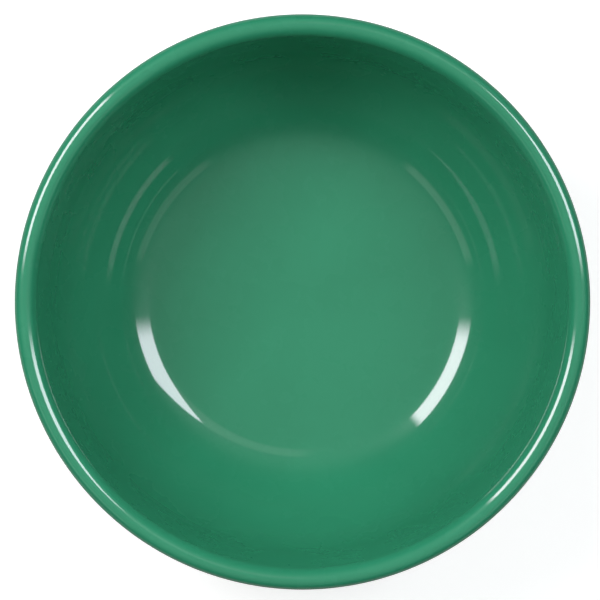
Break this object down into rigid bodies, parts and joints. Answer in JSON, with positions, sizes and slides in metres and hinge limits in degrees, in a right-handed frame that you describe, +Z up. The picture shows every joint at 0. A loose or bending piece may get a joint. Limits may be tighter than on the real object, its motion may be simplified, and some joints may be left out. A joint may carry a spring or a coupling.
{
  "type": "mixing bowl",
  "caption": "Round, deep mixing bowl in glossy green melamine, with a thick rounded rim, a nearly upright collar, a softly dished floor and a low foot ring.",
  "frame": {"origin": "centre of the plane that the foot ring stands on", "axes": "+Z up along the bowl's axis of revolution, out of its mouth; +X and +Y are equivalent radial directions"},
  "size_m": [0.24, 0.24, 0.0972],
  "materials": {
    "melamine": "glossy green melamine, solid colour right through, polished by the mould, foot ring's face matt from wear"
  },
  "bodies": {
    "root": {"bowl": "melamine"}
  },
  "joints": []
}
